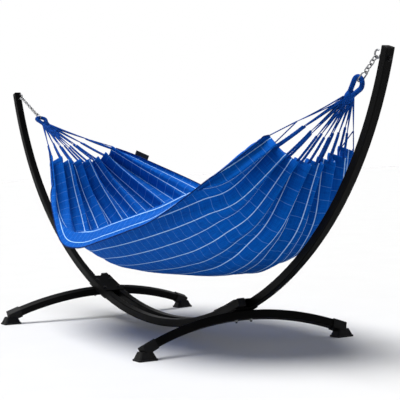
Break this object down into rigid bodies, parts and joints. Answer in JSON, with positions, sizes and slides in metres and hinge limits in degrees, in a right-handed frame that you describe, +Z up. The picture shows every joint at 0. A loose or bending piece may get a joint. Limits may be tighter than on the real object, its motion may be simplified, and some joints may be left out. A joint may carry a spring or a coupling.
{
  "type": "hammock on stand",
  "caption": "Free-standing hammock: a woven cloth bed with cord ends hung by chains and spring hooks from a stand of bent square steel tubes.",
  "frame": {"origin": "on the floor under the middle of the stand", "axes": "+Z up, +X along the hammock towards the end with the short chain, +Y to the rear"},
  "size_m": [3.1744, 1.03, 1.152],
  "materials": {
    "powder_coat": "black satin powder coat",
    "moulded_plastic": "black moulded plastic with a fine texture",
    "bolt_steel": "zinc plated",
    "black_steel": "black oxide",
    "zinc_steel": "bright zinc plated wire",
    "woven_cotton": "blue woven cotton with thin white stripes",
    "cotton_cord": "blue cotton cord",
    "label_cloth": "blank dark woven tag"
  },
  "bodies": {
    "stand": {"front_arc_tube": "powder_coat", "rear_arc_tube": "powder_coat", "left_top_cap": "moulded_plastic", "right_top_cap": "moulded_plastic", "front_tube_end_cap": "moulded_plastic", "rear_tube_end_cap": "moulded_plastic", "left_saddle_plate": "powder_coat", "left_lower_plate": "powder_coat", "left_foot_bar": "powder_coat", "left_front_foot": "moulded_plastic", "left_rear_foot": "moulded_plastic", "left_short_bolts": "black_steel", "left_short_bolt_nuts": "bolt_steel", "left_foot_bolts": "black_steel", "left_foot_bolt_nuts": "bolt_steel", "left_hook": "zinc_steel", "left_hook_washer": "black_steel", "left_hook_cap_nut": "black_steel", "right_saddle_plate": "powder_coat", "right_lower_plate": "powder_coat", "right_foot_bar": "powder_coat", "right_front_foot": "moulded_plastic", "right_rear_foot": "moulded_plastic", "right_short_bolts": "black_steel", "right_short_bolt_nuts": "bolt_steel", "right_foot_bolts": "black_steel", "right_foot_bolt_nuts": "bolt_steel", "right_hook": "zinc_steel", "right_hook_washer": "black_steel", "right_hook_cap_nut": "black_steel"},
    "hammock": {"hammock_cloth": "woven_cotton", "label_tag": "label_cloth", "left_chain_links": "zinc_steel", "left_carabiner": "zinc_steel", "left_gate_pin": "zinc_steel", "left_end_loop": "cotton_cord", "left_whipping": "cotton_cord", "left_suspension_cords": "cotton_cord", "left_end_hem": "woven_cotton", "right_chain_links": "zinc_steel", "right_carabiner": "zinc_steel", "right_gate_pin": "zinc_steel", "right_end_loop": "cotton_cord", "right_whipping": "cotton_cord", "right_suspension_cords": "cotton_cord", "right_end_hem": "woven_cotton"},
    "left_gate": {"left_carabiner_gate": "zinc_steel"},
    "right_gate": {"right_carabiner_gate": "zinc_steel"}
  },
  "joints": [
    {"name": "hammock_swing", "type": "hinge", "parent": "stand", "child": "hammock", "pos_m": [0.00093, 0.00002, 1.11701], "axis": [0.9997, 0.0235, -0.0009], "range_deg": [-25, 25]},
    {"name": "left_gate_open", "type": "hinge", "parent": "hammock", "child": "left_gate", "pos_m": [-1.28545, -0.03022, 0.99221], "axis": [-0.0235, 0.9997, 0], "range_deg": [0, 25], "stiffness_Nm_per_rad": 0.04, "springref_deg": -14.32},
    {"name": "right_gate_open", "type": "hinge", "parent": "hammock", "child": "right_gate", "pos_m": [1.41756, 0.02133, 1.04464], "axis": [-0.6559, -0.0154, 0.7547], "range_deg": [0, 25], "stiffness_Nm_per_rad": 0.04, "springref_deg": -14.32}
  ]
}
